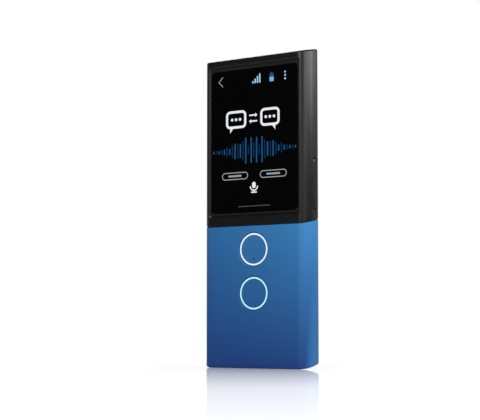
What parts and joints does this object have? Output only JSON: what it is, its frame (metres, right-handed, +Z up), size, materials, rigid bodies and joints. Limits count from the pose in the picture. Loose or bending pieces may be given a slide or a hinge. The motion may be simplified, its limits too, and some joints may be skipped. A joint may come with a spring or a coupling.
{
  "type": "handheld translator",
  "caption": "Slim two-tone handheld translator: recessed screen above two lit round push buttons, side keys, card tray, rear camera, flash and speaker grille, charging port.",
  "frame": {"origin": "middle of the footprint, level with the lowest edge of the body", "axes": "+Z up along the body, the screen faces -Y, +X is the side with the rocker"},
  "size_m": [0.0494, 0.0134, 0.1268],
  "materials": {
    "black_shell": "fine satin moulded ABS and polycarbonate",
    "blue_shell": "satin blue moulded plastic",
    "ring_light": "milky light guide, lit",
    "cover_glass": "black backed polished glass",
    "display": "picture panel",
    "flash_clear": "clear moulded lens",
    "bright_metal": "polished",
    "steel": "plain stainless steel",
    "alloy": "tinned sheet",
    "circuit_board": "solder mask",
    "ribbon": "polyimide film",
    "insulator": "glass filled nylon",
    "foam": "open foam and woven mesh",
    "membrane": "moulded cone",
    "foil": "pouch foil",
    "lamp": "white moulded resin"
  },
  "bodies": {
    "casing": {"upper_housing": "black_shell", "lower_housing": "blue_shell", "display_glass": "cover_glass", "camera_window": "cover_glass", "camera_lens": "cover_glass", "display_panel": "display", "flash_window": "flash_clear", "flash_bezel": "bright_metal", "usb_c_shell": "steel", "upper_dome": "steel", "lower_dome": "steel", "button_board_screw_1": "steel", "button_board_screw_2": "steel", "main_board_screw_1": "steel", "main_board_screw_2": "steel", "main_board_screw_3": "steel", "main_board_screw_4": "steel", "processor_shield": "alloy", "radio_shield": "alloy", "microphone": "alloy", "power_switch": "alloy", "volume_up_switch": "alloy", "volume_down_switch": "alloy", "sim_socket": "alloy", "main_board": "circuit_board", "button_board": "circuit_board", "display_flex": "ribbon", "board_flex": "ribbon", "battery_flex": "ribbon", "antenna_flex": "ribbon", "chassis_frame": "insulator", "camera_module": "insulator", "flash_holder": "insulator", "usb_c_tongue": "insulator", "speaker_frame": "insulator", "display_foam": "foam", "speaker_gasket": "foam", "speaker_mesh": "foam", "battery_pad": "foam", "speaker_diaphragm": "membrane", "battery_cell": "foil", "upper_lamp_left": "lamp", "upper_lamp_right": "lamp", "lower_lamp_left": "lamp", "lower_lamp_right": "lamp", "flash_led": "lamp"},
    "upper_button": {"upper_button": "blue_shell", "upper_light_ring": "ring_light"},
    "lower_button": {"lower_button": "blue_shell", "lower_light_ring": "ring_light"},
    "volume_rocker": {"volume_rocker": "black_shell"},
    "power_button": {"power_button": "black_shell"},
    "sim_tray": {"sim_tray": "black_shell", "sim_card": "lamp"}
  },
  "joints": [
    {"name": "upper_button_press", "type": "slide", "parent": "casing", "child": "upper_button", "axis": [0, 1, 0], "range_m": [0, 0.0004], "stiffness_N_per_m": 4000},
    {"name": "lower_button_press", "type": "slide", "parent": "casing", "child": "lower_button", "axis": [0, 1, 0], "range_m": [0, 0.0004], "stiffness_N_per_m": 4000},
    {"name": "volume_rocker_tilt", "type": "hinge", "parent": "casing", "child": "volume_rocker", "pos_m": [0.0223, -0.0002, 0.0722], "axis": [0, 1, 0], "range_deg": [-1.4, 1.4], "stiffness_Nm_per_rad": 0.43},
    {"name": "power_button_press", "type": "slide", "parent": "casing", "child": "power_button", "axis": [1, 0, 0], "range_m": [0, 0.00025], "stiffness_N_per_m": 6000},
    {"name": "sim_tray_slide", "type": "slide", "parent": "casing", "child": "sim_tray", "axis": [-1, 0, 0], "range_m": [0, 0.0155]}
  ]
}
